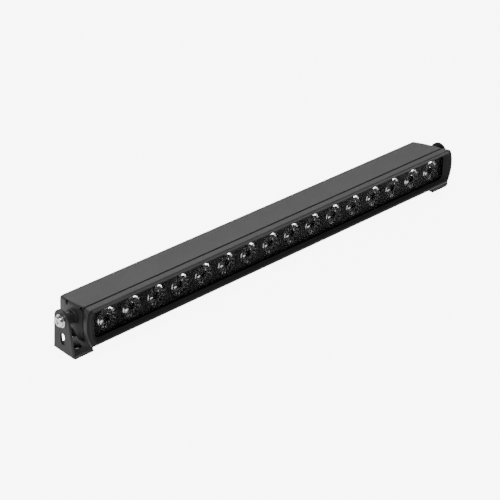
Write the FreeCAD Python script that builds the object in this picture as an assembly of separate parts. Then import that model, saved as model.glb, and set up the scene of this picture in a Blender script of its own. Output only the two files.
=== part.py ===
import FreeCAD, Part
import math
import os
from FreeCAD import Vector

os.makedirs("parts", exist_ok=True)

# An LED light bar: a finned housing with sixteen optics in one row, carried at both ends
# by a trapezoid bracket on a pivot screw. Millimetres. +X runs along the bar, the beam
# leaves along -Y, +Z is up. The origin is under the middle of the bar, on the plane that
# the two rubber foot pads stand on.

# Optics
OPTIC_COUNT = 16
OPTIC_PITCH = 38.0
OPTIC_AXIS_Z = 42.8
OPTIC_RADIUS = 14.8
OPTIC_FLANGE_RADIUS = 16.2
SPREAD_PER_END = 2
WINDOW_PLAY = 0.1
CUP_WALL = 1.0
CUP_FOOT_RADIUS = 5.0
CUP_THROAT_RADIUS = 3.2
CUP_THROAT_DEPTH = 2.6
LED_SIDE = 3.5
LED_HEIGHT = 0.8
LED_DOME_RADIUS = 1.6

# Lamp envelope
FRONT_Y = -33.0
BACK_Y = 33.0
FRONT_HALF_HEIGHT = 26.0
TAPER_DEG = 7.66
UNDERSIDE_DROP = 1.3
RIM_BULGE_X = 322.3
RIM_CREST_Z = 46.0
RIM_ARC_RADIUS = 54.0
RIM_SAG = 5.0
END_BULGE_X = 317.4
END_CREST_Y = -8.0
END_CREST_Z = 40.0
END_ARC_RADIUS = 150.0
END_PLAN_RADIUS = 180.0
RIM_ROUND = 2.0
END_ROUND = 4.0
END_EDGE_WIDTH = 20.0
SPLIT_X = 300.0
GASKET_X = 300.4
STEP_FRONT_Y = -6.2
STEP_BACK_Y = 0.5

# Layers from the front to the back, each the y of a face
LIP_BACK_Y = -27.3
LENS_FRONT_Y = -26.5
FACEPLATE_FRONT_Y = -24.5
FACEPLATE_BACK_Y = -22.5
FLANGE_BACK_Y = -21.0
BEZEL_BACK_Y = -18.8
HOUSING_FRONT_Y = -17.8
BOARD_FRONT_Y = -8.1
BOARD_BACK_Y = -6.5
WEB_FRONT_Y = -6.0
WEB_BACK_Y = -2.0
DRIVER_FRONT_Y = 8.4
DRIVER_BACK_Y = 10.0
CHAMBER_BACK_Y = 12.0
FIN_ROOT_Y = 15.0

# Front opening
OPENING_HALF_LENGTH = 307.0
OPENING_HALF_HEIGHT = 18.5
OPENING_CORNER = 7.0
RIM_WIDTH = 2.3
LENS_HALF_LENGTH = 308.6
LENS_HALF_HEIGHT = 21.1
LENS_CORNER = 4.6
LENS_PLAY = 0.4
GROOVE_DEPTH = 1.3
SEAL_HALF_HEIGHT = 20.5

# Pivot and brackets
PIVOT_Y = 2.0
PIVOT_Z = 47.3
BOSS_RADIUS = 9.5
BOSS_FACE_X = 319.5
BRACKET_INNER_X = 330.0
BRACKET_THICKNESS = 3.0
BRACKET_TOP_RADIUS = 14.0
FOOT_HALF_DEPTH = 19.0
FOOT_INNER_X = 301.0
FOOT_CORNER = 4.0
FOOT_HOLE_X = 314.5
FOOT_HOLE_Y = -1.0
FOOT_HOLE_RADIUS = 5.25
PAD_THICKNESS = 1.5
PAD_HOLE_RADIUS = 4.25
SIDE_SLOT_WIDTH = 8.5
SIDE_SLOT_LENGTH = 16.5
SIDE_SLOT_DROP = 26.0
SHANK_RADIUS = 3.98
PIVOT_BORE_RADIUS = 4.06
INSERT_RADIUS = 6.0
INSERT_END_X = 305.5
SHANK_END_X = 307.0
INSERT_THREAD_RADIUS = 4.0
INNER_BEND_RADIUS = 0.6
OUTER_BEND_RADIUS = 2.0
WASHER_THICKNESS = 1.4
WASHER_HOLE_RADIUS = 4.2
OUTER_WASHER_RADIUS = 8.6
FRICTION_WASHER_THICKNESS = 1.6
FRICTION_WASHER_RADIUS = 8.5
SPACER_RADIUS = 7.5
PIVOT_HEAD_RADIUS = 7.0
PIVOT_HEAD_HEIGHT = 4.4
PIVOT_HEAD_ROUND = 2.6
PIVOT_SOCKET_WIDTH = 5.0
PIVOT_SOCKET_DEPTH = 2.6

# Screws that hold the end caps: (y, z) of each
CAP_SCREWS = [(-14.5, 62.3), (15.0, 58.8), (24.5, 37.8), (-14.5, 21.8)]
CAP_SCREW_SEAT_X = 308.0
CAP_SCREW_TIP_X = 288.0
PORT_RADIUS = 3.0

# M3 screws
M3_THREAD_RADIUS = 1.5
M3_SHANK_RADIUS = 1.48
M3_CLEARANCE_RADIUS = 1.7
M3_HEAD_RADIUS = 2.75
M3_HEAD_HEIGHT = 3.0
M3_SOCKET_RADIUS = 1.25
M3_POCKET_RADIUS = 3.0

# Cable gland under the left end cap, and the breather vent under the right one
GLAND_X = -307.0
VENT_X = 307.0
UNDERSIDE_Y = 14.0
GLAND_BOTTOM_Z = 10.3
GLAND_THREAD_RADIUS = 5.0
GLAND_BORE_RADIUS = 2.6
GLAND_FLANGE_RADIUS = 5.8
GLAND_FLANGE_HEIGHT = 4.0
GLAND_NECK_RADIUS = 3.6
GLAND_NUT_RADIUS = 5.3
GLAND_NUT_OVERLAP = 6.0
GLAND_MOUTH_RADIUS = 2.8
GLAND_FLOOR = 2.0
CABLE_RADIUS = 1.95
VENT_THREAD_RADIUS = 4.0
VENT_HEAD_RADIUS = 5.8
VENT_HEAD_HEIGHT = 3.5
VENT_BORE_RADIUS = 1.5
THREAD_FIT = 0.05
SPOT_FACE_RADIUS = 5.95
SPOT_FACE_DEPTH = 0.9
ENTRY_THREAD_LENGTH = 6.5
DUCT_RADIUS = 2.4
DUCT_END_Y = 6.5

# LED board, its thermal pad, and the driver behind the web
BOARD_HALF_LENGTH = 297.0
BOARD_HALF_HEIGHT = 17.0
BOARD_SCREW_HEAD = 2.0
DRIVER_X0 = -270.0
DRIVER_X1 = -90.0
DRIVER_LOW_Z = 35.8
DRIVER_HIGH_Z = 58.3
DRIVER_SCREW_INSET_X = 8.0
DRIVER_SCREW_INSET_Z = 3.0
DRIVER_SCREW_RADIUS = 1.22
DRIVER_THREAD_RADIUS = 1.25
DRIVER_HOLE_RADIUS = 1.35
DRIVER_HEAD_RADIUS = 2.4
DRIVER_HEAD_HEIGHT = 1.6
DRIVER_SPACER_RADIUS = 2.8
TALL_PART_HEIGHT = 8.0
COIL_RADIUS = 6.0
COIL_XS = [-235.0, -205.0]
CAPACITOR_RADIUS = 4.0
CAPACITOR_X = -180.0
CAPACITOR_SPREAD = 5.5
CHIP_SIDE = 7.0
CHIP_HEIGHT = 2.2
CHIP_XS = [-252.0, -160.0, -138.0]
LEAD_RADIUS = 1.2
LEAD_GAP = 4
LEAD_HALF_SPACING = 5.0
LEAD_Z = 55.3
LEAD_WAY_RADIUS = 2.2

WALL = 2.5
SKIN = 2.2
FIN_COUNT = 4
FIN_THICKNESS = 1.8
FLOOR_Z = 0.0
SLOPE = math.tan(math.radians(TAPER_DEG))
REACH_X = RIM_BULGE_X + 10.0
REACH_Z = 100.0

# How far a cutting shape runs past the face it opens
PAST = 1.0


def top_z(y):
    """Height of the sloping top face at depth y."""
    return OPTIC_AXIS_Z + FRONT_HALF_HEIGHT - SLOPE * (y - FRONT_Y)


def bottom_z(y):
    """Height of the rear underside, which rises toward the back as the top falls."""
    return 2 * PIVOT_Z - UNDERSIDE_DROP - top_z(y)


def optic_xs():
    """x of every optic, from left to right."""
    middle = (OPTIC_COUNT - 1) / 2
    return [(index - middle) * OPTIC_PITCH for index in range(OPTIC_COUNT)]


def gap_xs():
    """x half way between neighbouring optics."""
    return [x + OPTIC_PITCH / 2 for x in optic_xs()[:-1]]


def box(x0, x1, y0, y1, z0, z1):
    return Part.makeBox(x1 - x0, y1 - y0, z1 - z0, Vector(x0, y0, z0))


def rod(radius, start, end):
    """A cylinder between two points."""
    axis = end.sub(start)
    return Part.makeCylinder(radius, axis.Length, start, axis)


def rod_x(radius, x0, x1, y, z):
    return rod(radius, Vector(x0, y, z), Vector(x1, y, z))


def rod_y(radius, y0, y1, x, z):
    return rod(radius, Vector(x, y0, z), Vector(x, y1, z))


def rod_z(radius, z0, z1, x, y):
    return rod(radius, Vector(x, y, z0), Vector(x, y, z1))


def extrude_yz(points, x0, x1):
    """A prism along X from (y, z) corners."""
    corners = [Vector(x0, y, z) for y, z in points]
    face = Part.Face(Part.makePolygon(corners + [corners[0]]))
    return face.extrude(Vector(x1 - x0, 0, 0))


def rounded_plate(half_length, z0, z1, y0, y1, corner):
    """A plate facing Y with its four corners rounded."""
    plate = box(-half_length, half_length, y0, y1, z0, z1)
    edges = [edge for edge in plate.Edges if edge.BoundBox.YLength > (y1 - y0) / 2]
    return plate.makeFillet(corner, edges)


def fused(shapes):
    """One solid from several that touch or overlap."""
    return shapes[0].fuse(shapes[1:]).removeSplitter()


def mirrored(shape):
    """The same piece at the other end of the bar."""
    return shape.mirror(Vector(0, 0, 0), Vector(1, 0, 0))


def save(name, shapes):
    """One STEP file: a single solid, or a group of separate ones."""
    solids = []
    for shape in shapes:
        solids.extend(shape.Solids)
    part = solids[0] if len(solids) == 1 else Part.makeCompound(solids)
    assert part.isValid(), name
    part.exportStep("parts/" + name + ".step")


# ---------------------------------------------------------------- lamp envelope

def bulging_outline(y, bulge_x, crest_z, radius, inner_x):
    """The wire at depth y round the space from inner_x out to an arc that bulges to bulge_x."""
    low = FLOOR_Z
    high = 2 * OPTIC_AXIS_Z

    def arc_x(z):
        return bulge_x - radius + math.sqrt(radius ** 2 - (z - crest_z) ** 2)

    outline = [
        Part.Arc(Vector(arc_x(low), y, low), Vector(bulge_x, y, crest_z), Vector(arc_x(high), y, high)),
        Part.LineSegment(Vector(arc_x(high), y, high), Vector(inner_x, y, high)),
        Part.LineSegment(Vector(inner_x, y, high), Vector(inner_x, y, low)),
        Part.LineSegment(Vector(inner_x, y, low), Vector(arc_x(low), y, low)),
    ]
    return Part.Wire([curve.toShape() for curve in outline])


def end_barrel(inset):
    """The space inside the right end's doubly curved face."""
    bulge_x = END_BULGE_X - inset
    axis_x = bulge_x - END_PLAN_RADIUS
    face = Part.Face(bulging_outline(END_CREST_Y, bulge_x, END_CREST_Z, END_ARC_RADIUS, axis_x))
    return face.revolve(Vector(axis_x, END_CREST_Y, 0), Vector(0, 0, 1), 360)


def lamp_profile(inset):
    """(y, z) corners of the outer section, moved inward by inset."""
    front_low = OPTIC_AXIS_Z - FRONT_HALF_HEIGHT + inset
    return [
        (FRONT_Y, front_low),
        (STEP_FRONT_Y - inset, front_low),
        (STEP_BACK_Y - inset, bottom_z(STEP_BACK_Y) + inset),
        (BACK_Y, bottom_z(BACK_Y) + inset),
        (BACK_Y, top_z(BACK_Y) - inset),
        (FRONT_Y, top_z(FRONT_Y) - inset),
    ]


def body_envelope(inset=0.0):
    """The lamp behind the bezel, closed all round."""
    section = extrude_yz(lamp_profile(inset), -REACH_X, REACH_X)
    middle = box(-END_PLAN_RADIUS, END_PLAN_RADIUS, BEZEL_BACK_Y, BACK_Y, FLOOR_Z, REACH_Z)
    right = end_barrel(inset).common(box(0, REACH_X, BEZEL_BACK_Y, BACK_Y, FLOOR_Z, REACH_Z))
    return section.common(fused([middle, right, mirrored(right)]))


def bezel_envelope():
    """The solid block that the bezel is cut from: its ends flare from the body to the rim."""
    section = extrude_yz(lamp_profile(0.0), -REACH_X, REACH_X)
    rim = bulging_outline(FRONT_Y, RIM_BULGE_X, RIM_CREST_Z, RIM_ARC_RADIUS, 0)
    seam = bulging_outline(BEZEL_BACK_Y, END_BULGE_X, END_CREST_Z, END_ARC_RADIUS, 0)
    right = Part.makeLoft([rim, seam], True, True)
    return section.common(fused([right, mirrored(right)]))


def rounded(shape, rim_y):
    """Round the rim at depth rim_y and the end edges, but not those beside the gland."""
    high = []
    low = []
    for edge in shape.Edges:
        bounds = edge.BoundBox
        along_end = bounds.XLength < END_EDGE_WIDTH < 2 * bounds.YLength
        if along_end and bounds.ZMin > PIVOT_Z:
            high.append(edge)
        elif along_end and bounds.YMin < STEP_FRONT_Y - END_ROUND:
            low.append(edge)
    shape = shape.makeFillet(RIM_ROUND, low).makeFillet(END_ROUND, high)
    rim = []
    for edge in shape.Edges:
        bounds = edge.BoundBox
        if abs(bounds.YMin - rim_y) < 0.1 and abs(bounds.YMax - rim_y) < 0.1:
            rim.append(edge)
    return shape.makeFillet(RIM_ROUND, rim)


def optic_chamber(x0, x1):
    """The space in front of the web, where the optics stand on the LED board."""
    front_y = HOUSING_FRONT_Y - PAST
    front_low = OPTIC_AXIS_Z - FRONT_HALF_HEIGHT
    floor_z = front_low + WALL
    step_slope = (bottom_z(STEP_BACK_Y) - front_low) / (STEP_BACK_Y - STEP_FRONT_Y)
    corners = [
        (front_y, floor_z),
        (STEP_FRONT_Y - WALL, floor_z),
        (WEB_FRONT_Y, floor_z + step_slope * (WEB_FRONT_Y - STEP_FRONT_Y + WALL)),
        (WEB_FRONT_Y, top_z(WEB_FRONT_Y) - WALL),
        (front_y, top_z(front_y) - WALL),
    ]
    return extrude_yz(corners, x0, x1)


def driver_chamber(x0, x1):
    """The space behind the web, where the driver sits."""
    corners = [
        (WEB_BACK_Y, bottom_z(WEB_BACK_Y) + WALL),
        (CHAMBER_BACK_Y, bottom_z(CHAMBER_BACK_Y) + WALL),
        (CHAMBER_BACK_Y, top_z(CHAMBER_BACK_Y) - WALL),
        (WEB_BACK_Y, top_z(WEB_BACK_Y) - WALL),
    ]
    return extrude_yz(corners, x0, x1)


def fin_gaps(x0, x1):
    """Slots along the bar that leave cooling fins between the top and bottom skins."""
    low_front = bottom_z(FIN_ROOT_Y) + SKIN
    high_front = top_z(FIN_ROOT_Y) - SKIN
    low_back = bottom_z(BACK_Y) + SKIN
    high_back = top_z(BACK_Y) - SKIN
    half_fin = FIN_THICKNESS / 2
    tools = []
    for gap in range(FIN_COUNT + 1):
        first = gap / (FIN_COUNT + 1)
        last = (gap + 1) / (FIN_COUNT + 1)
        lift = half_fin if gap > 0 else 0.0
        drop = half_fin if gap < FIN_COUNT else 0.0
        corners = [
            (FIN_ROOT_Y, low_front + first * (high_front - low_front) + lift),
            (BACK_Y + PAST, low_back + first * (high_back - low_back) + lift),
            (BACK_Y + PAST, low_back + last * (high_back - low_back) - drop),
            (FIN_ROOT_Y, low_front + last * (high_front - low_front) - drop),
        ]
        tools.append(extrude_yz(corners, x0, x1))
    return tools


# ---------------------------------------------------------------- lamp body

def lead_xs():
    """x of the two leads that pass through the web to the LED board."""
    middle = gap_xs()[LEAD_GAP]
    return [middle - LEAD_HALF_SPACING, middle + LEAD_HALF_SPACING]


def board_screw_xs():
    """The LED board is screwed to the web in every other gap between optics."""
    return gap_xs()[::2]


def driver_screw_places():
    """(x, z) of the four screws that hold the driver."""
    xs = [DRIVER_X0 + DRIVER_SCREW_INSET_X, DRIVER_X1 - DRIVER_SCREW_INSET_X]
    zs = [DRIVER_LOW_Z + DRIVER_SCREW_INSET_Z, DRIVER_HIGH_Z - DRIVER_SCREW_INSET_Z]
    return [(x, z) for x in xs for z in zs]


def make_housing(envelope):
    """The extruded body: two chambers, fins behind them and a port for every end cap screw."""
    body = envelope.common(box(-SPLIT_X, SPLIT_X, HOUSING_FRONT_Y, REACH_Z, FLOOR_Z, REACH_Z))
    x0 = -SPLIT_X - PAST
    x1 = SPLIT_X + PAST
    body = body.cut([optic_chamber(x0, x1), driver_chamber(x0, x1)] + fin_gaps(x0, x1))
    ports = [rod_x(PORT_RADIUS, -SPLIT_X, SPLIT_X, y, z) for y, z in CAP_SCREWS]
    bores = [rod_x(M3_THREAD_RADIUS, x0, x1, y, z) for y, z in CAP_SCREWS]
    y0 = WEB_FRONT_Y - PAST
    y1 = WEB_BACK_Y + PAST
    bores += [rod_y(M3_THREAD_RADIUS, y0, y1, x, OPTIC_AXIS_Z) for x in board_screw_xs()]
    bores += [rod_y(LEAD_WAY_RADIUS, y0, y1, x, LEAD_Z) for x in lead_xs()]
    blind_end = FIN_ROOT_Y - 0.6
    bores += [
        rod_y(DRIVER_THREAD_RADIUS, CHAMBER_BACK_Y - PAST, blind_end, x, z)
        for x, z in driver_screw_places()]
    save("housing", [fused([body] + ports).cut(bores)])


def seat_z():
    """Height of the flat spot face that the gland and the vent tighten against."""
    return bottom_z(UNDERSIDE_Y) + SPOT_FACE_DEPTH


def underside_entry(x, thread_radius):
    """Spot face and threaded hole under a cap, and a slanted duct into the driver chamber."""
    roof = seat_z() + ENTRY_THREAD_LENGTH + 0.5
    duct_z = roof - DUCT_RADIUS - 0.5
    chamber_x = math.copysign(GASKET_X - 2, x)
    return [
        rod_z(SPOT_FACE_RADIUS, FLOOR_Z, seat_z(), x, UNDERSIDE_Y),
        rod_z(thread_radius, FLOOR_Z, roof, x, UNDERSIDE_Y),
        rod(DUCT_RADIUS, Vector(x, UNDERSIDE_Y, duct_z), Vector(chamber_x, DUCT_END_Y, duct_z)),
    ]


def make_end_caps(envelope):
    """Each cap has a boss for the pivot; the gland is in the left one, the vent in the right."""
    side = box(-REACH_X, -GASKET_X, HOUSING_FRONT_Y, REACH_Z, FLOOR_Z, REACH_Z)
    boss = rod_x(BOSS_RADIUS, -BOSS_FACE_X, -GASKET_X, PIVOT_Y, PIVOT_Z)
    cap = fused([envelope.common(side), boss])
    tools = [rod_x(INSERT_RADIUS, -BOSS_FACE_X - PAST, -INSERT_END_X, PIVOT_Y, PIVOT_Z)]
    tools += [rod_x(M3_CLEARANCE_RADIUS, -REACH_X, -SPLIT_X, y, z) for y, z in CAP_SCREWS]
    tools += [rod_x(M3_POCKET_RADIUS, -REACH_X, -CAP_SCREW_SEAT_X, y, z) for y, z in CAP_SCREWS]
    plain = cap.cut(tools)
    save("end_cap_left", [plain.cut(underside_entry(GLAND_X, GLAND_THREAD_RADIUS))])
    save("end_cap_right", [mirrored(plain).cut(underside_entry(VENT_X, VENT_THREAD_RADIUS))])


def make_end_gaskets(envelope):
    """Thin sheets between the housing's cut ends and the caps, open to the driver chamber."""
    x0 = -GASKET_X - PAST
    x1 = -SPLIT_X + PAST
    sheet = box(-GASKET_X, -SPLIT_X, HOUSING_FRONT_Y, REACH_Z, FLOOR_Z, REACH_Z)
    holes = [rod_x(M3_CLEARANCE_RADIUS, x0, x1, y, z) for y, z in CAP_SCREWS]
    left = envelope.common(sheet).cut([driver_chamber(x0, x1)] + holes)
    save("end_gasket_left", [left])
    save("end_gasket_right", [mirrored(left)])


def make_cap_screws():
    """Socket head screws, sunk in pockets in the end caps."""
    seat_x = -CAP_SCREW_SEAT_X
    screws = []
    for y, z in CAP_SCREWS:
        head = rod_x(M3_HEAD_RADIUS, seat_x - M3_HEAD_HEIGHT, seat_x, y, z)
        shank = rod_x(M3_SHANK_RADIUS, seat_x, -CAP_SCREW_TIP_X, y, z)
        socket = rod_x(M3_SOCKET_RADIUS, seat_x - M3_HEAD_HEIGHT - PAST, seat_x - M3_HEAD_HEIGHT / 2, y, z)
        screws.append(fused([head, shank]).cut(socket))
    save("end_cap_screws", screws + [mirrored(screw) for screw in screws])


def slab(half_length, half_height, y0, y1, corner):
    """A rounded plate centred on the optics' row."""
    return rounded_plate(half_length, OPTIC_AXIS_Z - half_height, OPTIC_AXIS_Z + half_height, y0, y1, corner)


def slab_outline(half_length, half_height, y, corner):
    """The front outline of such a plate, in the plane at y."""
    plate = slab(half_length, half_height, y, y + PAST, corner)
    face = min(plate.Faces, key=lambda candidate: candidate.CenterOfMass.y)
    return face.OuterWire


def flared_mouth():
    """The hollow of the bezel in front of its lip, flaring out to the rim."""
    just_outside = 0.001
    rim_length = RIM_BULGE_X - RIM_WIDTH - RIM_SAG
    rim_height = FRONT_HALF_HEIGHT - RIM_WIDTH
    back = slab_outline(OPENING_HALF_LENGTH, OPENING_HALF_HEIGHT, LIP_BACK_Y - just_outside, OPENING_CORNER)
    front = slab_outline(rim_length, rim_height, FRONT_Y - just_outside, OPENING_CORNER)
    return Part.makeLoft([back, front], True, True)


def make_bezel(envelope):
    """The front frame: a flared mouth, a lip in front of the lens and a pocket behind it."""
    through = slab(
        OPENING_HALF_LENGTH, OPENING_HALF_HEIGHT, LIP_BACK_Y - 0.5, BEZEL_BACK_Y, OPENING_CORNER)
    pocket = slab(
        LENS_HALF_LENGTH + LENS_PLAY, LENS_HALF_HEIGHT + LENS_PLAY,
        LIP_BACK_Y, BEZEL_BACK_Y + PAST, LENS_CORNER + LENS_PLAY)
    save("bezel", [envelope.cut([flared_mouth(), through, pocket])])


def make_bezel_seal():
    """The silicone bead between bezel and housing, set back so that it shows as a groove."""
    layer = box(-REACH_X, REACH_X, BEZEL_BACK_Y, HOUSING_FRONT_Y, FLOOR_Z, REACH_Z)
    inside = slab(SPLIT_X - 0.5, SEAL_HALF_HEIGHT, BEZEL_BACK_Y - PAST, HOUSING_FRONT_Y + PAST, LENS_CORNER)
    save("bezel_seal", [body_envelope(GROOVE_DEPTH).common(layer).cut(inside)])


def make_lens():
    """The clear front cover and the thin gasket between it and the bezel's lip."""
    save("lens", [slab(LENS_HALF_LENGTH, LENS_HALF_HEIGHT, LENS_FRONT_Y, FACEPLATE_FRONT_Y, LENS_CORNER)])
    ring = slab(LENS_HALF_LENGTH, LENS_HALF_HEIGHT, LIP_BACK_Y, LENS_FRONT_Y, LENS_CORNER)
    hollow = slab(
        OPENING_HALF_LENGTH, OPENING_HALF_HEIGHT, LIP_BACK_Y - PAST, LENS_FRONT_Y + PAST, OPENING_CORNER)
    save("lens_gasket", [ring.cut(hollow)])


# ---------------------------------------------------------------- light engine

def make_faceplate():
    """The black mask behind the lens, with a round window for every optic."""
    y0 = FACEPLATE_FRONT_Y
    y1 = FACEPLATE_BACK_Y
    plate = slab(LENS_HALF_LENGTH, LENS_HALF_HEIGHT, y0, y1, LENS_CORNER)
    windows = [rod_y(OPTIC_RADIUS + WINDOW_PLAY, y0 - PAST, y1 + PAST, x, OPTIC_AXIS_Z) for x in optic_xs()]
    save("faceplate", [plate.cut(windows)])


def optic(x):
    """A reflector cup: front collar, clamping flange and a cone that narrows to the LED."""
    section = [
        (OPTIC_RADIUS - CUP_WALL, FACEPLATE_FRONT_Y),
        (OPTIC_RADIUS, FACEPLATE_FRONT_Y),
        (OPTIC_RADIUS, FACEPLATE_BACK_Y),
        (OPTIC_FLANGE_RADIUS, FACEPLATE_BACK_Y),
        (OPTIC_FLANGE_RADIUS, FLANGE_BACK_Y),
        (OPTIC_RADIUS, FLANGE_BACK_Y),
        (CUP_FOOT_RADIUS, BOARD_FRONT_Y),
        (CUP_THROAT_RADIUS, BOARD_FRONT_Y),
        (CUP_THROAT_RADIUS, BOARD_FRONT_Y - CUP_THROAT_DEPTH),
        (OPTIC_RADIUS - CUP_WALL, FACEPLATE_FRONT_Y),
    ]
    corners = [Vector(x + radius, y, OPTIC_AXIS_Z) for radius, y in section]
    face = Part.Face(Part.makePolygon(corners))
    return face.revolve(Vector(x, 0, OPTIC_AXIS_Z), Vector(0, 1, 0), 360)


def make_optics():
    """Wide-angle cups at both ends of the row, narrow-beam cups between them."""
    xs = optic_xs()
    spread = xs[:SPREAD_PER_END] + xs[-SPREAD_PER_END:]
    spot = xs[SPREAD_PER_END:-SPREAD_PER_END]
    save("spread_optics", [optic(x) for x in spread])
    save("spot_optics", [optic(x) for x in spot])


def make_emitters():
    """A square LED package with its silicone dome on the board behind each optic."""
    half = LED_SIDE / 2
    face_y = BOARD_FRONT_Y - LED_HEIGHT
    emitters = []
    for x in optic_xs():
        package = box(x - half, x + half, face_y, BOARD_FRONT_Y, OPTIC_AXIS_Z - half, OPTIC_AXIS_Z + half)
        in_front = box(
            x - half, x + half, face_y - half, BOARD_FRONT_Y - LED_HEIGHT / 2,
            OPTIC_AXIS_Z - half, OPTIC_AXIS_Z + half)
        dome = Part.makeSphere(LED_DOME_RADIUS, Vector(x, face_y, OPTIC_AXIS_Z))
        emitters.append(fused([package, dome.common(in_front)]))
    save("led_emitters", emitters)


def board_sheet(y0, y1, lead_radius):
    """The outline that the LED board and its thermal pad share, between two depths."""
    low = OPTIC_AXIS_Z - BOARD_HALF_HEIGHT
    high = OPTIC_AXIS_Z + BOARD_HALF_HEIGHT
    sheet = box(-BOARD_HALF_LENGTH, BOARD_HALF_LENGTH, y0, y1, low, high)
    holes = [rod_y(M3_CLEARANCE_RADIUS, y0 - PAST, y1 + PAST, x, OPTIC_AXIS_Z) for x in board_screw_xs()]
    holes += [rod_y(lead_radius, y0 - PAST, y1 + PAST, x, LEAD_Z) for x in lead_xs()]
    return sheet.cut(holes)


def make_led_board():
    save("led_board", [board_sheet(BOARD_FRONT_Y, BOARD_BACK_Y, LEAD_RADIUS)])
    save("thermal_pad", [board_sheet(BOARD_BACK_Y, WEB_FRONT_Y, LEAD_WAY_RADIUS)])


def make_board_screws():
    """Screws that press the LED board and its pad onto the web."""
    screws = []
    for x in board_screw_xs():
        head = rod_y(M3_HEAD_RADIUS, BOARD_FRONT_Y - BOARD_SCREW_HEAD, BOARD_FRONT_Y, x, OPTIC_AXIS_Z)
        shank = rod_y(M3_SHANK_RADIUS, BOARD_FRONT_Y, WEB_BACK_Y, x, OPTIC_AXIS_Z)
        screws.append(fused([head, shank]))
    save("board_screws", screws)


def make_driver():
    """The current driver: a board that stands on four spacers behind the web."""
    y0 = DRIVER_FRONT_Y
    y1 = DRIVER_BACK_Y
    places = driver_screw_places()
    board = box(DRIVER_X0, DRIVER_X1, y0, y1, DRIVER_LOW_Z, DRIVER_HIGH_Z)
    holes = [rod_y(DRIVER_HOLE_RADIUS, y0 - PAST, y1 + PAST, x, z) for x, z in places]
    save("driver_board", [board.cut(holes)])
    spacers = []
    screws = []
    for x, z in places:
        spacer = rod_y(DRIVER_SPACER_RADIUS, y1, CHAMBER_BACK_Y, x, z)
        spacers.append(spacer.cut(rod_y(DRIVER_HOLE_RADIUS, y1 - PAST, CHAMBER_BACK_Y + PAST, x, z)))
        head = rod_y(DRIVER_HEAD_RADIUS, y0 - DRIVER_HEAD_HEIGHT, y0, x, z)
        screws.append(fused([head, rod_y(DRIVER_SCREW_RADIUS, y0, FIN_ROOT_Y - PAST, x, z)]))
    save("driver_spacers", spacers)
    save("driver_screws", screws)


def make_driver_components():
    """Two coils, two capacitors and three chips on the front of the driver board."""
    middle_z = (DRIVER_LOW_Z + DRIVER_HIGH_Z) / 2
    y0 = DRIVER_FRONT_Y - TALL_PART_HEIGHT
    y1 = DRIVER_FRONT_Y
    coils = [rod_y(COIL_RADIUS, y0, y1, x, middle_z) for x in COIL_XS]
    capacitor_zs = [middle_z - CAPACITOR_SPREAD, middle_z + CAPACITOR_SPREAD]
    capacitors = [rod_y(CAPACITOR_RADIUS, y0, y1, CAPACITOR_X, z) for z in capacitor_zs]
    half = CHIP_SIDE / 2
    chips = [
        box(x - half, x + half, y1 - CHIP_HEIGHT, y1, middle_z - half, middle_z + half)
        for x in CHIP_XS]
    save("driver_components", coils + capacitors + chips)


def make_feed_leads():
    """Two stiff leads from the driver board through the web into the LED board."""
    start = BOARD_FRONT_Y - 0.5
    save("feed_leads", [rod_y(LEAD_RADIUS, start, DRIVER_FRONT_Y, x, LEAD_Z) for x in lead_xs()])


# ---------------------------------------------------------------- gland and vent

def make_gland():
    """A small cable gland that points down: body, rubber seal and domed clamping nut."""
    x = GLAND_X
    y = UNDERSIDE_Y
    flange_z = seat_z() - GLAND_FLANGE_HEIGHT
    nut_top = flange_z - 0.4
    neck_z = nut_top - GLAND_NUT_OVERLAP
    seal_z = GLAND_BOTTOM_Z + GLAND_FLOOR
    thread = rod_z(GLAND_THREAD_RADIUS - THREAD_FIT, seat_z(), seat_z() + ENTRY_THREAD_LENGTH, x, y)
    flange = rod_z(GLAND_FLANGE_RADIUS, flange_z, seat_z(), x, y)
    neck = rod_z(GLAND_NECK_RADIUS, neck_z, flange_z, x, y)
    bore = rod_z(GLAND_BORE_RADIUS, FLOOR_Z, REACH_Z, x, y)
    save("gland_body", [fused([thread, flange, neck]).cut(bore)])
    shell = rod_z(GLAND_NUT_RADIUS, GLAND_BOTTOM_Z, nut_top, x, y)
    lowest = [edge for edge in shell.Edges if edge.BoundBox.ZMax < GLAND_BOTTOM_Z + 0.1]
    shell = shell.makeFillet(GLAND_FLOOR, lowest)
    hollow = rod_z(GLAND_NECK_RADIUS + THREAD_FIT, seal_z, nut_top + PAST, x, y)
    mouth = rod_z(GLAND_MOUTH_RADIUS, GLAND_BOTTOM_Z - PAST, seal_z + PAST, x, y)
    save("gland_nut", [shell.cut([hollow, mouth])])
    seal = rod_z(GLAND_NECK_RADIUS, seal_z, neck_z, x, y)
    save("gland_seal", [seal.cut(rod_z(CABLE_RADIUS, FLOOR_Z, REACH_Z, x, y))])


def make_vent():
    """A breather vent plug under the right end cap."""
    x = VENT_X
    y = UNDERSIDE_Y
    face_z = seat_z()
    head = rod_z(VENT_HEAD_RADIUS, face_z - VENT_HEAD_HEIGHT, face_z, x, y)
    thread = rod_z(VENT_THREAD_RADIUS - THREAD_FIT, face_z, face_z + ENTRY_THREAD_LENGTH, x, y)
    bore_floor = face_z - VENT_HEAD_HEIGHT + PAST
    bore = rod_z(VENT_BORE_RADIUS, bore_floor, face_z + ENTRY_THREAD_LENGTH + PAST, x, y)
    save("breather_vent", [fused([head, thread]).cut(bore)])


# ---------------------------------------------------------------- pivots and brackets

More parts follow.
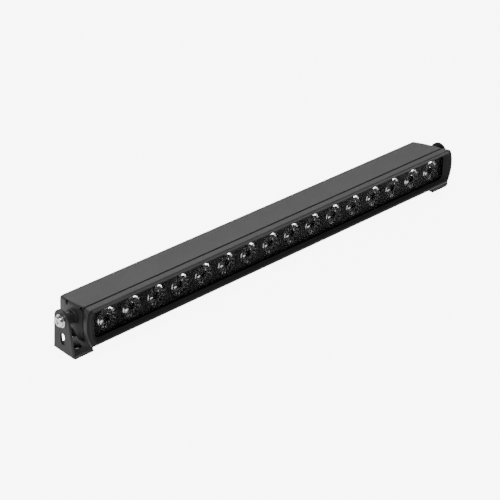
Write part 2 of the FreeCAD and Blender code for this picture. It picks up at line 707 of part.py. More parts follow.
def upright_face(outer_x):
    """The trapezoid of the upright, which ends in a round top about the pivot."""
    rise = PIVOT_Z - PAD_THICKNESS
    reach = math.hypot(FOOT_HALF_DEPTH, rise)
    lean = math.atan2(FOOT_HALF_DEPTH, rise) - math.asin(BRACKET_TOP_RADIUS / reach)
    side_y = BRACKET_TOP_RADIUS * math.cos(lean)
    side_z = PIVOT_Z + BRACKET_TOP_RADIUS * math.sin(lean)
    low_front = Vector(outer_x, PIVOT_Y - FOOT_HALF_DEPTH, PAD_THICKNESS)
    low_back = Vector(outer_x, PIVOT_Y + FOOT_HALF_DEPTH, PAD_THICKNESS)
    side_back = Vector(outer_x, PIVOT_Y + side_y, side_z)
    side_front = Vector(outer_x, PIVOT_Y - side_y, side_z)
    crown = Vector(outer_x, PIVOT_Y, PIVOT_Z + BRACKET_TOP_RADIUS)
    edges = [
        Part.LineSegment(low_front, low_back).toShape(),
        Part.LineSegment(low_back, side_back).toShape(),
        Part.Arc(side_back, crown, side_front).toShape(),
        Part.LineSegment(side_front, low_front).toShape(),
    ]
    return Part.Face(Part.Wire(edges))


def side_slot(x0, x1):
    """The upright slot in a bracket, below its pivot."""
    radius = SIDE_SLOT_WIDTH / 2
    half_run = SIDE_SLOT_LENGTH / 2 - radius
    low = PIVOT_Z - SIDE_SLOT_DROP - half_run
    high = low + 2 * half_run
    ends = [rod_x(radius, x0, x1, PIVOT_Y, z) for z in (low, high)]
    return fused(ends + [box(x0, x1, PIVOT_Y - radius, PIVOT_Y + radius, low, high)])


def foot_plate(outer_x, z0, z1):
    """A plate under the lamp's end with its two inner corners rounded."""
    plate = box(outer_x, -FOOT_INNER_X, PIVOT_Y - FOOT_HALF_DEPTH, PIVOT_Y + FOOT_HALF_DEPTH, z0, z1)
    corners = []
    for edge in plate.Edges:
        bounds = edge.BoundBox
        if bounds.XMin > -FOOT_INNER_X - 0.1 and bounds.YLength < 0.1:
            corners.append(edge)
    return plate.makeFillet(FOOT_CORNER, corners)


def foot_hole(radius):
    return rod_z(radius, FLOOR_Z - PAST, PAD_THICKNESS + BRACKET_THICKNESS + PAST, -FOOT_HOLE_X, FOOT_HOLE_Y)


def long_edges(shape, x, z):
    """The edges along Y at one x and z: where the plate is bent."""
    found = []
    for edge in shape.Edges:
        bounds = edge.BoundBox
        at_x = abs(bounds.XMin - x) < 0.1 and abs(bounds.XMax - x) < 0.1
        at_z = abs(bounds.ZMin - z) < 0.1 and abs(bounds.ZMax - z) < 0.1
        if at_x and at_z and bounds.YLength > FOOT_HALF_DEPTH:
            found.append(edge)
    return found


def make_bracket():
    """An angle bracket bent from plate: an upright on the pivot and a foot turned inward."""
    inner_x = -BRACKET_INNER_X
    outer_x = inner_x - BRACKET_THICKNESS
    foot_top = PAD_THICKNESS + BRACKET_THICKNESS
    upright = upright_face(outer_x).extrude(Vector(BRACKET_THICKNESS, 0, 0))
    shape = fused([upright, foot_plate(outer_x, PAD_THICKNESS, foot_top)])
    shape = shape.makeFillet(OUTER_BEND_RADIUS, long_edges(shape, outer_x, PAD_THICKNESS))
    shape = shape.makeFillet(INNER_BEND_RADIUS, long_edges(shape, inner_x, foot_top))
    pivot_bore = rod_x(PIVOT_BORE_RADIUS, outer_x - PAST, inner_x + PAST, PIVOT_Y, PIVOT_Z)
    return shape.cut([pivot_bore, side_slot(outer_x - PAST, inner_x + PAST), foot_hole(FOOT_HOLE_RADIUS)])


def make_brackets():
    """A bracket and the rubber pad under its foot at each end."""
    bracket = make_bracket()
    save("bracket_left", [bracket])
    save("bracket_right", [mirrored(bracket)])
    pad = foot_plate(-BRACKET_INNER_X, FLOOR_Z, PAD_THICKNESS).cut(foot_hole(PAD_HOLE_RADIUS))
    save("foot_pad_left", [pad])
    save("foot_pad_right", [mirrored(pad)])


def ring_x(outer, inner, x0, x1):
    """A washer or sleeve on the pivot axis."""
    return rod_x(outer, x0, x1, PIVOT_Y, PIVOT_Z).cut(rod_x(inner, x0 - PAST, x1 + PAST, PIVOT_Y, PIVOT_Z))


def hex_socket(across_flats, x0, x1):
    """A hexagonal prism on the pivot axis."""
    corner = across_flats / math.sqrt(3)
    angles = [math.radians(60 * step) for step in range(6)]
    points = [(PIVOT_Y + corner * math.cos(angle), PIVOT_Z + corner * math.sin(angle)) for angle in angles]
    return extrude_yz(points, x0, x1)


def pivot_screw(washer_x):
    """A domed socket screw whose head bears on the outer washer."""
    top_x = washer_x - PIVOT_HEAD_HEIGHT
    head = rod_x(PIVOT_HEAD_RADIUS, top_x, washer_x, PIVOT_Y, PIVOT_Z)
    crown = [edge for edge in head.Edges if edge.BoundBox.XMax < top_x + 0.1]
    shank = rod_x(SHANK_RADIUS, washer_x, -SHANK_END_X, PIVOT_Y, PIVOT_Z)
    socket = hex_socket(PIVOT_SOCKET_WIDTH, top_x - PAST, top_x + PIVOT_SOCKET_DEPTH)
    return fused([head.makeFillet(PIVOT_HEAD_ROUND, crown), shank]).cut(socket)


def make_pivot(side_name, place):
    """Everything threaded on one pivot axis; place moves the left-hand pieces to the side."""
    bracket_x = -(BRACKET_INNER_X + BRACKET_THICKNESS)
    washer_x = bracket_x - WASHER_THICKNESS
    friction_x = -BRACKET_INNER_X + FRICTION_WASHER_THICKNESS
    pieces = {
        "pivot_screw": pivot_screw(washer_x),
        "outer_washer": ring_x(OUTER_WASHER_RADIUS, WASHER_HOLE_RADIUS, washer_x, bracket_x),
        "friction_washer": ring_x(FRICTION_WASHER_RADIUS, WASHER_HOLE_RADIUS, -BRACKET_INNER_X, friction_x),
        "pivot_spacer": ring_x(SPACER_RADIUS, WASHER_HOLE_RADIUS, friction_x, -BOSS_FACE_X),
        "threaded_insert": ring_x(INSERT_RADIUS, INSERT_THREAD_RADIUS, -BOSS_FACE_X, -INSERT_END_X),
    }
    for name, shape in pieces.items():
        save(name + "_" + side_name, [place(shape)])


def main():
    body = rounded(body_envelope(), BACK_Y)
    make_housing(body)
    make_end_caps(body)
    make_end_gaskets(body)
    make_cap_screws()
    make_bezel(rounded(bezel_envelope(), FRONT_Y))
    make_bezel_seal()
    make_lens()
    make_faceplate()
    make_optics()
    make_emitters()
    make_led_board()
    make_board_screws()
    make_driver()
    make_driver_components()
    make_feed_leads()
    make_gland()
    make_vent()
    make_brackets()
    make_pivot("left", lambda shape: shape)
    make_pivot("right", mirrored)


main()
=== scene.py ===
import math
import random

import bmesh
import bpy
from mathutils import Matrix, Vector


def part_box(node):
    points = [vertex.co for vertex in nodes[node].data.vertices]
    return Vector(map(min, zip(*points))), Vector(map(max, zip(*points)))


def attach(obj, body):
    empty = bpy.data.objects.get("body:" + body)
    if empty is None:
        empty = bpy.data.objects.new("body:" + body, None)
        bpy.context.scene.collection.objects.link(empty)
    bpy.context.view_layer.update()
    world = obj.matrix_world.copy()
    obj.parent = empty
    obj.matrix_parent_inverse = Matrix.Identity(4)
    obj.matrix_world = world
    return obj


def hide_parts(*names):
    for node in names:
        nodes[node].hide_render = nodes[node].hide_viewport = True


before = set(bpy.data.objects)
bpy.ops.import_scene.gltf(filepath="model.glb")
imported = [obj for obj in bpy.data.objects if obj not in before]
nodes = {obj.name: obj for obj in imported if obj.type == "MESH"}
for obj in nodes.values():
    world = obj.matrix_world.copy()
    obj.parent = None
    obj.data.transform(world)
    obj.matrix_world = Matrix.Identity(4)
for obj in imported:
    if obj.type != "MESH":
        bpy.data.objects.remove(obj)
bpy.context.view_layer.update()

# Camera
CAMERA_PLACE = Vector((-1.2687, -1.3473, 1.0702))
CAMERA_TARGET = Vector((-0.05696, -0.0258, 0.0485))
CAMERA_LENS = 117.38

# How strongly the white floor glows toward the camera, and toward everything else
FLOOR_GLOW = 7.5
FLOOR_BOUNCE = 0.6
WORLD_STRENGTH = 0.16

# Faces of the CAD frame that the new pieces are built on, in metres
bezel_low, bezel_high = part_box("bezel")
lens_low, lens_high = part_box("lens")
FRONT_Y = bezel_low.y
BEZEL_BACK_Y = bezel_high.y
LIP_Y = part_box("lens_gasket")[0].y
PLATE_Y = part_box("faceplate")[0].y
AXIS_Z = (lens_low.z + lens_high.z) / 2
BEZEL_LOW_Z = bezel_low.z

# Bezel: how high its front is, how its top slopes and how its ends bulge, as in the CAD model
FRONT_HALF_HEIGHT = 0.026
TAPER = math.tan(math.radians(7.66))
RIM_BULGE_X = 0.3223
RIM_CREST_Z = 0.046
RIM_ARC_RADIUS = 0.054
SEAM_BULGE_X = 0.3174
SEAM_CREST_Z = 0.040
SEAM_ARC_RADIUS = 0.150

# Bezel: its corners, its rolled rim, its flared mouth and the groove behind it
TOP_CORNER = 0.004
LOW_CORNER = 0.002
RIM_ROUND = 0.0034
RIM_WIDTH = 0.0016
GROOVE_WIDTH = 0.0018
GROOVE_DEPTH = 0.0022
GROOVE_EDGE = 0.0003
OPENING_HALF_LENGTH = 0.307
OPENING_HALF_HEIGHT = 0.0185
OPENING_CORNER = 0.006
FLARE_ACROSS = 1.6
FLARE_DEEP = 1.5
LIP_THICKNESS = 0.0006
LENS_PLAY = 0.0003
POCKET_CORNER = 0.004

# Bezel: how many points and loops draw each part of it; the first loops are its groove
TOP_POINTS = 24
CORNER_POINTS = 8
END_POINTS = 14
GROOVE_STEPS = 2
SIDE_LOOPS = 5
RIM_LOOPS = 8
FLARE_LOOPS = 10
# Places of the two materials in the bezel's list: the coat, and a low-sheen black whose darker colour
# is painted shade
COAT, INNER_SHADE = range(2)

# Optics
OPTIC_COUNT = 16
OPTIC_PITCH = 0.038
SPREAD_PER_END = 2
SECTORS = 48
FIRST_RIPPLED_RING = 3
CENTER_RING = 8
RIPPLE = 0.00012
# Each ring of an optic's face as (radius, depth behind the mask's front face)
OPTIC_RINGS = [
    (0.0147, 0.0001), (0.0143, 0.0014), (0.0136, 0.0010), (0.0126, 0.0004), (0.0110, 0.0014),
    (0.0090, 0.0022), (0.0070, 0.0023), (0.0054, 0.0020), (0.0047, 0.0015), (0.0042, 0.0024),
    (0.0030, 0.0050), (0.0012, 0.0060)]
# Facets that are full mirrors and facets that are half as bright, each patch as
# (first ring, last ring, from degrees, to degrees)
SPOT_SPARKLES = [(1, 2, 50, 96), (3, 3, 38, 66), (5, 6, 186, 206)]
SPOT_GLEAMS = [
    (4, 4, 72, 86), (2, 2, 122, 138), (1, 2, 158, 188), (2, 2, 230, 242), (6, 7, 34, 54),
    (1, 1, 300, 350)]
SPREAD_SPARKLES = [(1, 2, 44, 104), (4, 5, 186, 212), (2, 2, 172, 184)]
SPREAD_GLEAMS = [
    (2, 3, 27, 82), (2, 2, 100, 138), (1, 2, 165, 192), (4, 6, 184, 216), (7, 8, 6, 40),
    (7, 8, 70, 100), (2, 2, 226, 248), (1, 1, 290, 350)]
# Places of the four materials in an optic's list
CLEAR, MIRROR, GLEAM, COLLAR = range(4)


# ---------------------------------------------------------------- camera, floor, light

def aim(thing, target):
    """Turns a camera or a light at a point."""
    thing.rotation_euler = (target - thing.location).to_track_quat("-Z", "Y").to_euler()


def make_camera():
    camera = bpy.data.objects.new("camera", bpy.data.cameras.new("camera"))
    bpy.context.scene.collection.objects.link(camera)
    camera.data.lens = CAMERA_LENS
    camera.data.clip_start = 0.05
    camera.location = CAMERA_PLACE
    aim(camera, CAMERA_TARGET)
    bpy.context.scene.camera = camera


def painted_shade_under_feet(material):
    """Painted shade: 1 on the floor that the two feet cover, where no light gets in, and 0 elsewhere.
    """
    low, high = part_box("foot_pad_right")
    split = material.node_tree.nodes.new("ShaderNodeSeparateXYZ")
    material.node_tree.links.new(object_coords(material), split.inputs["Vector"])
    middle = (low + high) / 2
    half = (high - low) / 2
    from_center = math_node(material, "ABSOLUTE", split.outputs["X"])
    along = math_node(material, "COMPARE", from_center, middle.x, half.x)
    across = math_node(material, "COMPARE", split.outputs["Y"], middle.y, half.y)
    return math_node(material, "MULTIPLY", along, across)


def make_floor():
    bpy.ops.mesh.primitive_plane_add(size=10.0, location=(0, 0, 0))
    floor = bpy.context.object
    floor.name = "floor"
    material, shader = new_material("floor_white")
    shader.inputs["Base Color"].default_value = (0.8, 0.8, 0.8, 1)
    shader.inputs["Roughness"].default_value = 0.9
    shader.inputs["Specular IOR Level"].default_value = 0.0
    shader.inputs["Emission Color"].default_value = (1, 1, 1, 1)
    seen = material.node_tree.nodes.new("ShaderNodeLightPath").outputs["Is Camera Ray"]
    strength = remap(material, seen, 0, 1, FLOOR_BOUNCE, FLOOR_GLOW)
    # The floor's glow is taken off under the feet, as painted shade
    open_floor = remap(material, painted_shade_under_feet(material), 0, 1, 1, 0)
    glow = math_node(material, "MULTIPLY", strength, open_floor)
    material.node_tree.links.new(glow, shader.inputs["Emission Strength"])
    floor.data.materials.append(material)


def area_light(name, place, target, width, height, power):
    data = bpy.data.lights.new(name, "AREA")
    data.shape = "RECTANGLE"
    data.size = width
    data.size_y = height
    data.energy = power
    light = bpy.data.objects.new(name, data)
    bpy.context.scene.collection.objects.link(light)
    light.location = place
    aim(light, Vector(target))


def make_light():
    world = bpy.data.worlds.new("studio")
    bpy.context.scene.world = world
    world.use_nodes = True
    background = world.node_tree.nodes["Background"]
    background.inputs["Color"].default_value = (1, 1, 1, 1)
    background.inputs["Strength"].default_value = WORLD_STRENGTH
    area_light("overhead", (0.7, 1.3, 1.1), (0, 0, 0), width=2.2, height=1.0, power=15.0)
    area_light("front_high", (-0.6, -0.5, 1.7), (-0.2, 0, 0), width=0.9, height=0.5, power=18.0)
    # The light that the optics' convex rims reflect
    area_light("front_right", (1.2, -0.96, 0.36), (0, 0, 0.04), width=0.5, height=0.4, power=6.0)
    area_light("left_fill", (-1.5, 0.1, 0.5), (-0.3, 0, 0.04), width=0.8, height=0.8, power=3.0)


# ---------------------------------------------------------------- materials

def new_material(name):
    material = bpy.data.materials.new(name)
    material.use_nodes = True
    return material, material.node_tree.nodes["Principled BSDF"]


def paint(node_names, material):
    """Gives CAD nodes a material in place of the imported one."""
    for name in node_names:
        mesh = nodes[name].data
        mesh.materials.clear()
        mesh.materials.append(material)


def object_coords(material):
    return material.node_tree.nodes.new("ShaderNodeTexCoord").outputs["Object"]


def noise(material, scale, detail=2.0, stretch=(1, 1, 1)):
    """Object-space noise, drawn out along an axis by a small stretch value."""
    tree = material.node_tree
    mapping = tree.nodes.new("ShaderNodeMapping")
    mapping.inputs["Scale"].default_value = stretch
    texture = tree.nodes.new("ShaderNodeTexNoise")
    texture.inputs["Scale"].default_value = scale
    texture.inputs["Detail"].default_value = detail
    tree.links.new(object_coords(material), mapping.inputs["Vector"])
    tree.links.new(mapping.outputs["Vector"], texture.inputs["Vector"])
    return texture.outputs["Fac"]


def math_node(material, operation, *values):
    """A Math node; each value is a number or another node's output."""
    node = material.node_tree.nodes.new("ShaderNodeMath")
    node.operation = operation
    for socket, value in zip(node.inputs, values):
        if isinstance(value, (int, float)):
            socket.default_value = value
        else:
            material.node_tree.links.new(value, socket)
    return node.outputs["Value"]


def remap(material, value, low, high, to_low, to_high):
    """Maps low..high onto to_low..to_high, and holds the ends."""
    node = material.node_tree.nodes.new("ShaderNodeMapRange")
    node.inputs["From Min"].default_value = low
    node.inputs["From Max"].default_value = high
    node.inputs["To Min"].default_value = to_low
    node.inputs["To Max"].default_value = to_high
    material.node_tree.links.new(value, node.inputs["Value"])
    return node.outputs["Result"]


def gray(value):
    return (value, value, value)


def mix_color(material, factor, first, second):
    """A colour between two, each an RGB triple or another node's output."""
    node = material.node_tree.nodes.new("ShaderNodeMix")
    node.data_type = "RGBA"
    material.node_tree.links.new(factor, node.inputs["Factor"])
    for socket, value in (("A", first), ("B", second)):
        target = [item for item in node.inputs if item.name == socket and item.type == "RGBA"][0]
        if isinstance(value, tuple):
            target.default_value = (*value, 1)
        else:
            material.node_tree.links.new(value, target)
    return [item for item in node.outputs if item.type == "RGBA"][0]


def add_bump(material, shader, height, strength, distance):
    bump = material.node_tree.nodes.new("ShaderNodeBump")
    bump.inputs["Strength"].default_value = strength
    bump.inputs["Distance"].default_value = distance
    material.node_tree.links.new(height, bump.inputs["Height"])
    material.node_tree.links.new(bump.outputs["Normal"], shader.inputs["Normal"])


def textured(name, dark, light, roughness, grain, bump=0.2, metallic=0.0, specular=0.5):
    """A material whose colour, roughness and relief vary with one grain."""
    material, shader = new_material(name)
    links = material.node_tree.links
    fine = noise(material, grain, 3.0)
    color = mix_color(material, remap(material, fine, 0.35, 0.65, 0, 1), dark, light)
    finish = remap(material, fine, 0.3, 0.7, roughness - 0.06, roughness + 0.06)
    links.new(color, shader.inputs["Base Color"])
    links.new(finish, shader.inputs["Roughness"])
    shader.inputs["Metallic"].default_value = metallic
    shader.inputs["Specular IOR Level"].default_value = specular
    add_bump(material, shader, fine, bump, 0.0002)
    return material


def powder_coat(name, tone, roughness):
    """Fine black powder coat: a soft mottle, a fine orange peel, and tiny light specks."""
    material, shader = new_material(name)
    links = material.node_tree.links
    mottle = remap(material, noise(material, 26.0, 3.0), 0.35, 0.65, 0, 1)
    base = mix_color(material, mottle, gray(tone * 0.88), gray(tone * 1.12))
    specks = remap(material, noise(material, 900.0, 1.0), 0.66, 0.74, 0, 1)
    color = mix_color(material, specks, base, gray(tone * 1.9))
    links.new(color, shader.inputs["Base Color"])
    peel = noise(material, 1300.0, 2.0)
    finish = remap(material, peel, 0.3, 0.7, roughness - 0.05, roughness + 0.07)
    links.new(finish, shader.inputs["Roughness"])
    shader.inputs["Specular IOR Level"].default_value = 0.5
    add_bump(material, shader, peel, 0.3, 0.00015)
    return material


def gloss_black(name, tone, roughness, specular):
    """Smooth black moulding with faint flow marks."""
    material, shader = new_material(name)
    links = material.node_tree.links
    flow = noise(material, 60.0, 4.0, (0.2, 1, 1))
    color = mix_color(material, flow, gray(tone * 0.8), gray(tone * 1.2))
    finish = remap(material, flow, 0.3, 0.7, roughness - 0.03, roughness + 0.05)
    links.new(color, shader.inputs["Base Color"])
    links.new(finish, shader.inputs["Roughness"])
    shader.inputs["Specular IOR Level"].default_value = specular
    return material


def clear_cover():
    """A nearly invisible cover with a faint haze; it lets the lights through to the optics."""
    material, shader = new_material("clear_cover")
    links = material.node_tree.links
    haze = noise(material, 40.0, 2.0)
    shader.inputs["Base Color"].default_value = (0.01, 0.01, 0.01, 1)
    links.new(remap(material, haze, 0.4, 0.7, 0.02, 0.05), shader.inputs["Roughness"])
    links.new(remap(material, haze, 0.3, 0.7, 0.03, 0.05), shader.inputs["Alpha"])
    return material


# ---------------------------------------------------------------- mesh helpers

def finish_mesh(name, mesh_data, materials, body, replaced, smooth=True):
    """Turns a bmesh into a piece that stands for CAD nodes and rides on their body."""
    bmesh.ops.recalc_face_normals(mesh_data, faces=mesh_data.faces)
    mesh = bpy.data.meshes.new(name)
    mesh_data.to_mesh(mesh)
    mesh_data.free()
    for polygon in mesh.polygons:
        polygon.use_smooth = smooth
    for material in materials:
        mesh.materials.append(material)
    piece = bpy.data.objects.new(name, mesh)
    bpy.context.scene.collection.objects.link(piece)
    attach(piece, body)
    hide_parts(*replaced)


def skin_loops(mesh_data, loops, material_index, closed=True):
    """Quads between neighbouring loops of equal length; returns the loops' vertices."""
    rows = [[mesh_data.verts.new(point) for point in loop] for loop in loops]
    pairs = list(zip(rows, rows[1:]))
    if closed:
        pairs.append((rows[-1], rows[0]))
    for step, (row, next_row) in enumerate(pairs):
        for index in range(len(row)):
            after = (index + 1) % len(row)
            face = mesh_data.faces.new((row[index], row[after], next_row[after], next_row[index]))
            face.material_index = material_index(step, index)
    return rows


# ---------------------------------------------------------------- bezel

def frame_loop(y, top, bottom, end_x, high_corner, low_corner):
    """Points once round a frame-shaped loop at depth y; end_x gives the end's x at a height."""
    points = []
    top_x = end_x(top)
    low_x = end_x(bottom)

    def rounded(before, tip, after):
        for step in range(1, CORNER_POINTS):
            t = step / CORNER_POINTS
            points.append((1 - t) ** 2 * before + 2 * t * (1 - t) * tip + t * t * after)

    def line(x0, x1, z):
        for step in range(TOP_POINTS + 1):
            points.append(Vector((x0 + (x1 - x0) * step / TOP_POINTS, y, z)))

    def end(z0, z1, side):
        for step in range(END_POINTS + 1):
            z = z0 + (z1 - z0) * step / END_POINTS
            points.append(Vector((side * end_x(z), y, z)))

    high = top - high_corner
    low = bottom + low_corner
    line(-top_x + high_corner, top_x - high_corner, top)
    rounded(points[-1], Vector((top_x, y, top)), Vector((end_x(high), y, high)))
    end(high, low, 1)
    rounded(points[-1], Vector((low_x, y, bottom)), Vector((low_x - low_corner, y, bottom)))
    line(low_x - low_corner, -low_x + low_corner, bottom)
    rounded(points[-1], Vector((-low_x, y, bottom)), Vector((-end_x(low), y, low)))
    end(low, high, -1)
    rounded(points[-1], Vector((-top_x, y, top)), Vector((-top_x + high_corner, y, top)))
    return points


def arc_x(z, bulge_x, crest_z, radius):
    """The x at height z of an end that bulges to bulge_x at crest_z."""
    return bulge_x - radius + math.sqrt(radius ** 2 - (z - crest_z) ** 2)


def outer_loop(y, inset=0.0):
    """The bezel's outline at depth y, moved inward by inset."""
    share = (y - FRONT_Y) / (BEZEL_BACK_Y - FRONT_Y)

    def end_x(z):
        rim = arc_x(z, RIM_BULGE_X, RIM_CREST_Z, RIM_ARC_RADIUS)
        seam = arc_x(z, SEAM_BULGE_X, SEAM_CREST_Z, SEAM_ARC_RADIUS)
        return rim + (seam - rim) * share - inset

    top = AXIS_Z + FRONT_HALF_HEIGHT - TAPER * (y - FRONT_Y) - inset
    return frame_loop(y, top, BEZEL_LOW_Z + inset, end_x, TOP_CORNER, LOW_CORNER)


def mouth_loop(y, share):
    """The flared mouth: share runs from 0 at the lip to 1 at the rim."""
    reach = RIM_ROUND + RIM_WIDTH
    grow = share ** FLARE_ACROSS
    half_height = OPENING_HALF_HEIGHT + (FRONT_HALF_HEIGHT - reach - OPENING_HALF_HEIGHT) * grow

    def end_x(z):
        rim = arc_x(z, RIM_BULGE_X, RIM_CREST_Z, RIM_ARC_RADIUS) - reach
        return OPENING_HALF_LENGTH + (rim - OPENING_HALF_LENGTH) * grow

    high = AXIS_Z + half_height
    low = AXIS_Z - half_height
    return frame_loop(y, high, low, end_x, OPENING_CORNER, OPENING_CORNER)


def outside_loops():
    """From the groove at the bezel's back, forward along its side and round its rim."""
    groove_y = BEZEL_BACK_Y - GROOVE_WIDTH
    loops = [
        outer_loop(BEZEL_BACK_Y, GROOVE_DEPTH), outer_loop(groove_y, GROOVE_DEPTH),
        outer_loop(groove_y, GROOVE_EDGE), outer_loop(groove_y - GROOVE_EDGE)]
    for step in range(1, SIDE_LOOPS):
        y = BEZEL_BACK_Y + (FRONT_Y + RIM_ROUND - BEZEL_BACK_Y) * step / SIDE_LOOPS
        loops.append(outer_loop(y))
    for step in range(RIM_LOOPS + 1):
        angle = math.pi / 2 * step / RIM_LOOPS
        y = FRONT_Y + RIM_ROUND * (1 - math.sin(angle))
        loops.append(outer_loop(y, RIM_ROUND * (1 - math.cos(angle))))
    return loops


def inside_loops():
    """From the rim, down the flared mouth to the lip, and back through the lens pocket."""
    loops = []
    for step in range(FLARE_LOOPS + 1):
        share = 1 - step / FLARE_LOOPS
        y = FRONT_Y + (LIP_Y - FRONT_Y) * (1 - share ** FLARE_DEEP)
        loops.append(mouth_loop(y, share))
    lip_back_y = LIP_Y + LIP_THICKNESS
    loops.append(mouth_loop(lip_back_y, 0))
    high = lens_high.z + LENS_PLAY
    low = lens_low.z - LENS_PLAY
    pocket = frame_loop(
        lip_back_y, high, low, lambda z: lens_high.x + LENS_PLAY, POCKET_CORNER, POCKET_CORNER)
    loops.append(pocket)
    loops.append([Vector((point.x, BEZEL_BACK_Y, point.z)) for point in pocket])
    return loops


def make_bezel(coat, inner):
    """The front frame: coated outside; in its groove, on its end rims and in its mouth a low-sheen
    black whose darker colour is painted shade.
    """
    outside = outside_loops()

    def which(step, index):
        return COAT if GROOVE_STEPS <= step < len(outside) - 1 else INNER_SHADE

    mesh_data = bmesh.new()
    skin_loops(mesh_data, outside + inside_loops(), which)
    # The front faces of the end rims take the darker black too: painted shade on faces turned to the
    # dark front
    for face in mesh_data.faces:
        middle = face.calc_center_median()
        if abs(middle.x) > OPENING_HALF_LENGTH and middle.y < FRONT_Y + RIM_WIDTH:
            face.material_index = INNER_SHADE
    finish_mesh("bezel_frame", mesh_data, [coat, inner], "lamp", ["bezel"])


# ---------------------------------------------------------------- optics

def optic_xs():
    middle = (OPTIC_COUNT - 1) / 2
    return [(index - middle) * OPTIC_PITCH for index in range(OPTIC_COUNT)]


def is_in(ring, sector, patches):
    """Whether a facet lies in any of the patches."""
    angle = (sector + 0.5) * 360 / SECTORS
    return any(first <= ring <= last and start <= angle <= stop for first, last, start, stop in patches)


def add_optic(mesh_data, x, sparkles, gleams, shuffle):
    """One optic's face: a collar, a convex rim, rings of flat facets, and a deep dark centre."""
    loops = []
    for ring, (radius, depth) in enumerate(OPTIC_RINGS):
        loop = []
        for sector in range(SECTORS):
            angle = 2 * math.pi * sector / SECTORS
            y = PLATE_Y + depth
            if FIRST_RIPPLED_RING <= ring < CENTER_RING:
                y += shuffle.uniform(-RIPPLE, RIPPLE)
            loop.append(Vector((x + radius * math.cos(angle), y, AXIS_Z + radius * math.sin(angle))))
        loops.append(loop)

    def which(step, index):
        if step == 0:
            return COLLAR
        if is_in(step, index, sparkles):
            return MIRROR
        if is_in(step, index, gleams):
            return GLEAM
        # Two facets in eleven, scattered outside the centre, are as gray as the collar
        scattered = (index * 7 + step * 5) % 11 < 2
        return COLLAR if scattered and step < CENTER_RING else CLEAR

    rows = skin_loops(mesh_data, loops, which, closed=False)
    mesh_data.faces.new(rows[-1]).material_index = CLEAR


def make_optics(materials):
    """Wide-angle optics at both ends of the row and narrow-beam ones between them."""
    xs = optic_xs()
    groups = {
        "spread_optics": (xs[:SPREAD_PER_END] + xs[-SPREAD_PER_END:], SPREAD_SPARKLES, SPREAD_GLEAMS),
        "spot_optics": (xs[SPREAD_PER_END:-SPREAD_PER_END], SPOT_SPARKLES, SPOT_GLEAMS),
    }
    for name, (places, sparkles, gleams) in groups.items():
        mesh_data = bmesh.new()
        for x in places:
            add_optic(mesh_data, x, sparkles, gleams, random.Random(5))
        finish_mesh(
            name + "_face", mesh_data, materials, "lamp", [name], smooth=False)


# ---------------------------------------------------------------- gland

def make_gland_nut(material):
    """The gland's domed nut with grip ribs."""
    low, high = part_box("gland_nut")
    x = (low.x + high.x) / 2
    y = (low.y + high.y) / 2
    radius = (high.x - low.x) / 2
    height = high.z - low.z
    ribs = 14
    points_per_rib = 6
    around = ribs * points_per_rib
    # The outline from the mouth up, each as (share of the radius, share of the height, rib depth)
    outline = [
        (0.53, 0.16, 0.0), (0.53, 0.0, 0.0), (0.62, 0.0, 0.0), (0.82, 0.04, 0.0), (0.94, 0.14, 0.0),
        (0.97, 0.26, 0.0), (1.0, 0.3, 0.07), (1.0, 0.9, 0.07), (0.96, 0.96, 0.0), (0.9, 1.0, 0.0),
        (0.7, 1.0, 0.0)]
    loops = []
    for reach, rise, depth in outline:
        z = low.z + rise * height
        loop = []
        for step in range(around):
            angle = 2 * math.pi * step / around
            groove = depth * (0.5 + 0.5 * math.cos(ribs * angle)) ** 2
            r = radius * (reach - groove)
            loop.append(Vector((x + r * math.cos(angle), y + r * math.sin(angle), z)))
        loops.append(loop)
    mesh_data = bmesh.new()
    skin_loops(mesh_data, loops, lambda step, index: 0, closed=False)
    finish_mesh("gland_nut_ribbed", mesh_data, [material], "lamp", ["gland_nut"])


# ---------------------------------------------------------------- everything

def soften(node_names, width):
    """Catches light on the edges of CAD nodes that stay."""
    for name in node_names:
        bevel = nodes[name].modifiers.new("edge", "BEVEL")
        bevel.width = width
        bevel.segments = 2
        bevel.limit_method = "ANGLE"
        bevel.angle_limit = math.radians(50)


def both(*names):
    """Each name for the left side and for the right."""
    return [name + "_" + side for name in names for side in ("left", "right")]


def paint_outside(nylon, steel):
    coat = powder_coat("powder_coat", tone=0.032, roughness=0.46)
    paint(["housing"] + both("end_cap", "end_gasket"), coat)
    paint(both("bracket"), powder_coat("bracket_coat", tone=0.014, roughness=0.5))
    paint(both("pivot_screw", "outer_washer", "threaded_insert"), steel)
    oxide = textured("black_oxide", gray(0.012), gray(0.03), roughness=0.35, grain=700.0)
    paint(["end_cap_screws"] + both("pivot_spacer"), oxide)
    paint(["gland_body", "breather_vent"] + both("friction_washer"), nylon)
    rubber = textured(
        "black_rubber", gray(0.006), gray(0.014), roughness=0.75, grain=800.0, specular=0.2)
    paint(["bezel_seal", "lens_gasket", "gland_seal"] + both("foot_pad"), rubber)
    paint(["lens"], clear_cover())
    mask = gloss_black("gloss_mask", tone=0.003, roughness=0.3, specular=0.08)
    paint(["faceplate"], mask)


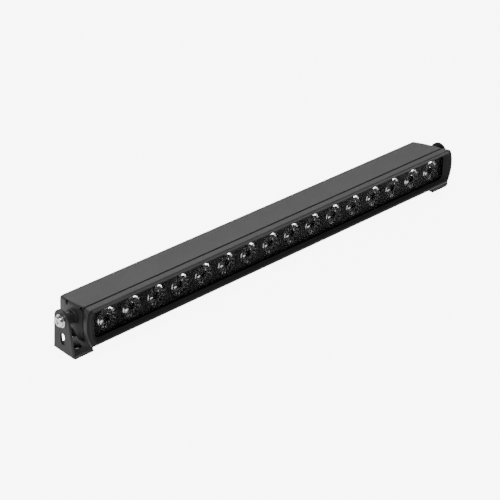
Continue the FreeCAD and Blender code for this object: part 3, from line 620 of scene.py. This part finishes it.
def paint_inside(steel):
    paint(["board_screws", "driver_screws"], steel)
    phosphor = textured(
        "led_phosphor", (0.8, 0.62, 0.16), (0.95, 0.8, 0.3), roughness=0.3, grain=900.0)
    paint(["led_emitters"], phosphor)
    boards = textured(
        "solder_mask", (0.01, 0.09, 0.03), (0.02, 0.14, 0.05), roughness=0.35, grain=300.0)
    paint(["led_board", "driver_board"], boards)
    moulded = textured(
        "moulded_parts", (0.02, 0.02, 0.022), (0.05, 0.05, 0.055), roughness=0.5, grain=400.0)
    paint(["driver_components"], moulded)
    pad = textured(
        "thermal_sheet", (0.4, 0.42, 0.45), (0.55, 0.57, 0.6), roughness=0.8, grain=350.0)
    paint(["thermal_pad"], pad)
    aluminium = textured(
        "turned_aluminium", (0.6, 0.6, 0.61), (0.8, 0.8, 0.81), roughness=0.3, grain=600.0,
        metallic=1.0)
    paint(["driver_spacers"], aluminium)
    leads = textured("lead_red", (0.4, 0.02, 0.02), (0.6, 0.05, 0.03), roughness=0.5, grain=500.0)
    paint(["feed_leads"], leads)


def optic_materials():
    """In the order of CLEAR, MIRROR, GLEAM and COLLAR."""
    return [
        gloss_black("optic_clear", tone=0.008, roughness=0.12, specular=0.14),
        textured(
            "optic_mirror", (0.85, 0.85, 0.86), (0.95, 0.95, 0.96), roughness=0.12, grain=200.0,
            metallic=1.0, bump=0.05),
        textured(
            "optic_gleam", (0.3, 0.3, 0.31), (0.5, 0.5, 0.51), roughness=0.2, grain=300.0,
            metallic=1.0, bump=0.1),
        textured("optic_collar", gray(0.06), gray(0.1), roughness=0.3, grain=300.0, metallic=0.6),
    ]


def main():
    make_camera()
    make_light()
    make_floor()
    steel = textured(
        "stainless", (0.8, 0.8, 0.79), (0.97, 0.97, 0.96), roughness=0.16, grain=500.0,
        metallic=1.0, bump=0.1)
    nylon = textured("black_nylon", gray(0.012), gray(0.024), roughness=0.42, grain=600.0)
    paint_outside(nylon, steel)
    paint_inside(steel)
    bezel_coat = powder_coat("bezel_coat", tone=0.03, roughness=0.48)
    # Low-sheen black for the groove, the mouth and the end rims; its colour, darker than the coat, is
    # painted shade
    bezel_inner_painted_shade = gloss_black("bezel_inner_painted_shade", tone=0.016, roughness=0.4, specular=0.1)
    make_bezel(bezel_coat, bezel_inner_painted_shade)
    make_optics(optic_materials())
    make_gland_nut(nylon)
    soften(both("bracket", "outer_washer", "end_cap"), width=0.0003)


main()
